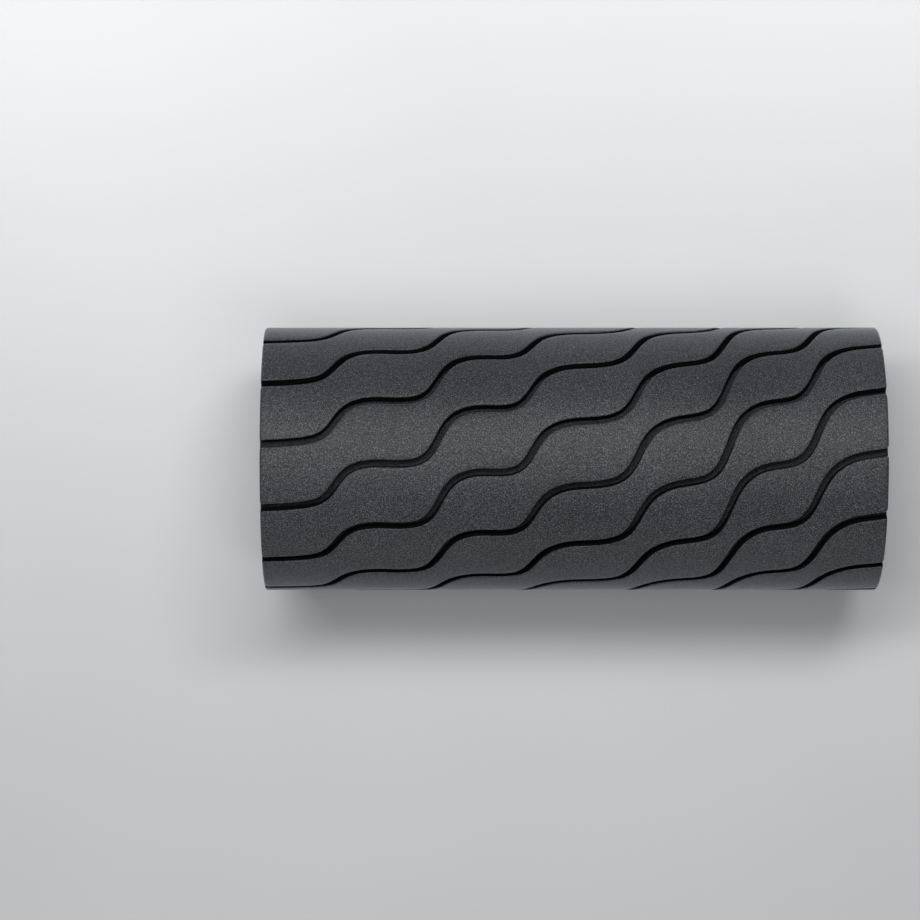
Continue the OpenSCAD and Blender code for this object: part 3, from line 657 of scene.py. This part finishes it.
socket_r = 2.8 * MM
mouth_round = 0.45 * MM
board_top = floor_in - 8.4 * MM
block_top = board_top + 4 * MM
block_half = 4.5 * MM
barrel = np.concatenate([
    [[0, board_top + 1 * MM], [socket_r, board_top + 1 * MM]],
    quarter(socket_r + mouth_round, floor_out - mouth_round, mouth_round, 180, 90, 6),
    quarter(jack_r - 0.2 * MM, floor_out - 0.2 * MM, 0.2 * MM, 90, 0, 4),
    [[jack_r, block_top]]])
block = np.array([[block_half, block_top], [block_half, board_top], [0, board_top]])
barrel_points, barrel_faces = revolve(barrel, z=jack_z, columns=96)
block_points, block_faces = revolve(np.concatenate([barrel[-1:], block]), z=jack_z, columns=96)
# A square's radius is its half width over the larger of the cosine and the sine.
off = block_points - [0, 0, jack_z]
turned = np.arctan2(off[:, 2], off[:, 1])
square = 1 / np.maximum(np.abs(np.cos(turned)), np.abs(np.sin(turned)))
square = np.where(np.hypot(off[:, 1], off[:, 2]) > jack_r - 0.01 * MM, 1, square)
block_points = np.column_stack([off[:, 0], off[:, 1] * square, off[:, 2] * square + jack_z])
socket_nylon = moulded_plastic("socket_nylon", (0.016, 0.016, 0.017), 0.38, texture=0.02 * MM, grain=2600)
socket_body = make_piece(
    "socket_body", join((barrel_points, barrel_faces), (block_points, block_faces)),
    socket_nylon)
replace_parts(socket_body, "jack_housing")


# ---------------------------------------------------------------------------------------------------
# Foam sleeve: moulded closed-cell foam, 17 mm thick, bonded to the core tube.
# Its skin has a fine pebbled grain. Thirteen grooves are cut through it from end to end and climb
# round the sleeve in six smooth steps, and the end faces' edges are rounded by the mould.
# ---------------------------------------------------------------------------------------------------

sleeve_r = 65 * MM
skin_depth = 0.4 * MM
bore_r = 48.1 * MM
groove_count = 13
groove_depth = 5 * MM
floor_half = 1.6 * MM
mouth_half = 1.85 * MM
floor_fillet = 0.35 * MM
lip_round = 0.45 * MM
end_round = 1.3 * MM
corner_round = 1.5 * MM
rise_at = np.array([-115, -65, -19.5, 31, 74.5, 117]) * MM
rise_by = np.array([14, 18.5, 16, 18, 23.5, 20.5]) * MM
rise_half_width = 6 * MM
crest, crest_after, crest_half_width = 0.31, 15.5 * MM, 17.5 * MM
climb_start, climb_lead, climb_curl = 27.5 * MM, 0.238, 0.68


def groove_climb(x):
    """How far a groove has climbed round the sleeve at x: a steady lead that quickens towards the far end,
    plus six steps. Each step is a hyperbolic tangent from 0 to its own rise, with a low crest after it."""
    past = x[..., None] - rise_at
    step = 0.5 * (1 + np.tanh(past / rise_half_width))
    hump = crest / np.cosh((past - crest_after) / crest_half_width) ** 2
    return climb_start + climb_lead * x + climb_curl * x * x + (rise_by * (step + hump)).sum(-1)


def groove_slope(x):
    """The climb's rate of change along the axis, taken over half a millimetre either way."""
    reach = 0.5 * MM
    return (groove_climb(x + reach) - groove_climb(x - reach)) / (2 * reach)


def half_groove():
    """Half a groove's section from its floor's middle to the land, as distance from the middle and depth:
    flat floor, quarter-round fillet, leaning wall, quarter-round lip."""
    turn = np.linspace(0, np.pi / 2, 4)
    fillet = np.stack([
        floor_half - floor_fillet + floor_fillet * np.sin(turn),
        groove_depth - floor_fillet + floor_fillet * np.cos(turn)], 1)
    lip = np.stack([
        mouth_half + lip_round - lip_round * np.cos(turn),
        lip_round - lip_round * np.sin(turn)], 1)
    return np.concatenate([fillet, lip])


def sleeve_columns():
    """The sleeve's columns round one groove and the land after it. Each has a side (-1 or 1), a distance
    from the groove's middle, a depth, and how far it lies across the land from 0 to 1."""
    half = half_groove()
    land_steps = 10
    across = np.arange(1, land_steps) / land_steps
    rows = [[-1, n, d, 0] for n, d in half[::-1]] + [[1, 0, groove_depth, 0]]
    rows += [[1, n, d, 0] for n, d in half]
    rows += [[1, half[-1, 0], 0, part] for part in across]
    return np.array(rows)


def sleeve_surface():
    """The whole closed sleeve as one grid: each row is a ring round it, from the bore over one end face,
    along the outside, over the other end face and back through the bore. A point at x lies at the
    groove's angle there plus its column's own angle, which grows with the square root of 1 + slope
    squared so that the groove keeps its width square to its path."""
    round_rings, face_rings, outside_rings, bore_rings = 6, 6, 169, 38
    turn = np.linspace(np.pi / 2, 0, round_rings)
    outside = np.linspace(-(half_length - end_round), half_length - end_round, outside_rings + 2)[1:-1]
    bore_x = np.linspace(half_length, -half_length, bore_rings + 2)[1:-1]
    end_x = -half_length + end_round - end_round * np.sin(turn)
    end_sink = end_round - end_round * np.cos(turn)
    face_x, face_sink = np.full(face_rings, half_length), np.full(face_rings, end_round)
    face_fall = np.linspace(1, 0, face_rings + 1)[:-1]
    skin_fall = np.zeros(2 * round_rings + outside_rings)
    x = np.concatenate([-face_x, end_x, outside, -end_x[::-1], face_x, bore_x])
    sink = np.concatenate([
        face_sink, end_sink, np.zeros(outside_rings), end_sink[::-1], face_sink, np.zeros(bore_rings)])
    # How much of the way a ring has gone from the outside to the bore.
    fall = np.concatenate([face_fall, skin_fall, face_fall[::-1], np.ones(bore_rings)])

    side, away, depth, across = sleeve_columns().T
    # Near an end face a groove's walls lean apart in a quarter round, so its corners are soft too.
    near_end = np.clip(half_length - np.abs(x), 0, corner_round)
    flare = corner_round - np.sqrt(corner_round**2 - (corner_round - near_end) ** 2)
    stretch = np.sqrt(1 + groove_slope(x) ** 2)
    pitch = 2 * np.pi / groove_count
    own = (away[None, :] + flare[:, None] * (away > 0.9 * floor_half)[None, :]) * stretch[:, None] / sleeve_r
    own = side[None, :] * own + across[None, :] * (pitch - 2 * own)
    middles = (groove_climb(x) / sleeve_r)[:, None] + np.arange(groove_count) * pitch
    angle = (middles[:, :, None] + own[:, None, :]).reshape(len(x), -1)
    skin = np.tile(sleeve_r - depth, groove_count)[None, :] - sink[:, None]
    radius = skin + (bore_r - skin) * fall[:, None]
    points = np.stack([
        np.broadcast_to(x[:, None], angle.shape), radius * np.sin(angle), radius * np.cos(angle)], -1)
    return points.reshape(-1, 3), grid_faces(*angle.shape, last_row_joins_first=True)


foam = Finish("pebbled_foam", {
    "IOR": 1.45, "Specular IOR Level": 0.3, "Sheen Weight": 1.0, "Sheen Roughness": 0.32,
    "Sheen Tint": (0.34, 0.362, 0.41, 1)})
pebble = foam.noise(1950, detail=2.5, roughness=0.6)
speck = foam.noise(4300, detail=1)
tone = foam.noise(16, detail=2)
foam.colour(foam.ramp(
    pebble * 0.7 + speck * 0.25 + tone * 0.05,
    (0.36, (0.001, 0.0011, 0.0013)), (0.5, (0.0145, 0.0155, 0.0178)), (0.64, (0.105, 0.11, 0.122))))
foam.rough(pebble * -0.25 + 0.66)
foam.bump(pebble * 0.8 + speck * 0.2, 0.13 * MM, 0.9)

# The grooves' walls and floors show the bare cells, without the skin's sheen. The walls, cut straight
# across, are painted near black: painted shade for the depth of the grooves, not the foam's own colour.
bare_foam_painted_shade = Finish("bare_foam_painted_shade", {"IOR": 1.4, "Specular IOR Level": 0.12})
cells = bare_foam_painted_shade.noise(1950, detail=2.5, roughness=0.6)
from_axis = bare_foam_painted_shade.node(
    "ShaderNodeVectorMath", {"operation": "LENGTH"}, {0: bare_foam_painted_shade.place((0, 1, 1))}, "Value")
floor_r = sleeve_r - groove_depth
# Painted shade: this mask picks the groove walls, and the mix below paints them near black.
wall = bare_foam_painted_shade.node("ShaderNodeMapRange", {}, {
    "Value": from_axis, "From Min": floor_r + 0.2 * MM, "From Max": floor_r + 0.8 * MM}, "Result")
floor_tint = bare_foam_painted_shade.ramp(cells, (0.38, (0.003, 0.0032, 0.0036)), (0.68, (0.034, 0.036, 0.041)))
bare_foam_painted_shade.colour(bare_foam_painted_shade.node("ShaderNodeMix", {"data_type": "RGBA"}, {
    "Factor": wall, "A": floor_tint, "B": (0.0006, 0.0006, 0.0007, 1)}, "Result"))
bare_foam_painted_shade.rough(cells * -0.1 + 0.95)
bare_foam_painted_shade.bump(cells, 0.13 * MM, 0.7)

foam_piece = make_piece("sleeve_foam", sleeve_surface(), foam, sharp=55, weld=False)
foam_piece.data.materials.append(bare_foam_painted_shade.material)
centre = np.empty(len(foam_piece.data.polygons) * 3, np.float32)
foam_piece.data.polygons.foreach_get("center", centre)
along, *off_axis = np.abs(centre.reshape(-1, 3)).T
out = np.hypot(*off_axis)
# The outside falls away from its full radius by up to end_round where it turns over to an end face.
land_r = sleeve_r - np.clip(along - (half_length - end_round), 0, end_round)
cut = (out > bore_r + 2 * MM) & (out < land_r - skin_depth) & (along < half_length - 0.05 * MM)
# The faces inside the grooves take the bare foam, whose walls carry painted shade.
foam_piece.data.polygons.foreach_set("material_index", cut.astype(np.int32))
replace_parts(foam_piece, "foam_sleeve")


# ---------------------------------------------------------------------------------------------------
# Studio: a plain pale floor, seen from straight above through a long lens.
# Two strip lights hang overhead, two weak ones stand low on either side, and one brightens the floor
# beyond the roller, so that its far edge shines.
# ---------------------------------------------------------------------------------------------------

floor_z = cad_box[0].z
floor_reach = 4.0
floor_finish = Finish("pale_floor", {"Roughness": 0.8})
mottle = floor_finish.noise(3, detail=3)
floor_finish.colour(floor_finish.ramp(mottle, (0.3, (0.46, 0.465, 0.475)), (0.7, (0.49, 0.495, 0.505))))
floor_mesh = bpy.data.meshes.new("floor")
floor_mesh.from_pydata([
    (-floor_reach, -floor_reach, floor_z), (floor_reach, -floor_reach, floor_z),
    (floor_reach, floor_reach, floor_z), (-floor_reach, floor_reach, floor_z)], [], [(0, 1, 2, 3)])
floor_mesh.materials.append(floor_finish.material)
floor = bpy.data.objects.new("floor", floor_mesh)
bpy.context.scene.collection.objects.link(floor)


def soft_light(name, place, size, watts, aim=(0, 0, 0), spread=180):
    """An area light turned to face a point, shining within a spread in degrees. Its first size runs
    along X."""
    lamp = bpy.data.lights.new(name, "AREA")
    lamp.shape = "RECTANGLE"
    lamp.size, lamp.size_y = size
    lamp.energy = watts
    lamp.spread = np.radians(spread)
    light = bpy.data.objects.new(name, lamp)
    light.location = place
    facing = mathutils.Vector(aim) - mathutils.Vector(place)
    light.rotation_euler = facing.to_track_quat("-Z", "Y").to_euler()
    bpy.context.scene.collection.objects.link(light)


soft_light("overhead", (-0.18, 0.62, 1.68), (1.8, 0.3), 28.5)
soft_light("behind_camera", (-0.15, -0.26, 1.78), (1.8, 0.3), 13)
soft_light("near_low", (-0.1, -1.7, 0.4), (1.8, 0.3), 8)
soft_light("beyond_low", (-0.1, 1.8, 0.2), (1.8, 0.3), 1)
soft_light("beyond_floor", (-0.1, 0.42, 0.6), (1.8, 0.4), 2.6, aim=(-0.1, 0.36, floor_z), spread=70)

world = bpy.data.worlds.new("studio_air")
world.use_nodes = True
world.node_tree.nodes["Background"].inputs["Color"].default_value = (0.9, 0.94, 1.0, 1)
world.node_tree.nodes["Background"].inputs["Strength"].default_value = 0.04
bpy.context.scene.world = world
bpy.context.scene.view_settings.view_transform = "Standard"

camera_data = bpy.data.cameras.new("camera")
camera_data.sensor_width = 36
camera_data.lens = 153.9
camera = bpy.data.objects.new("camera", camera_data)
camera.location = (-0.0548, -0.0006, 1.95)
bpy.context.scene.collection.objects.link(camera)
bpy.context.scene.camera = camera
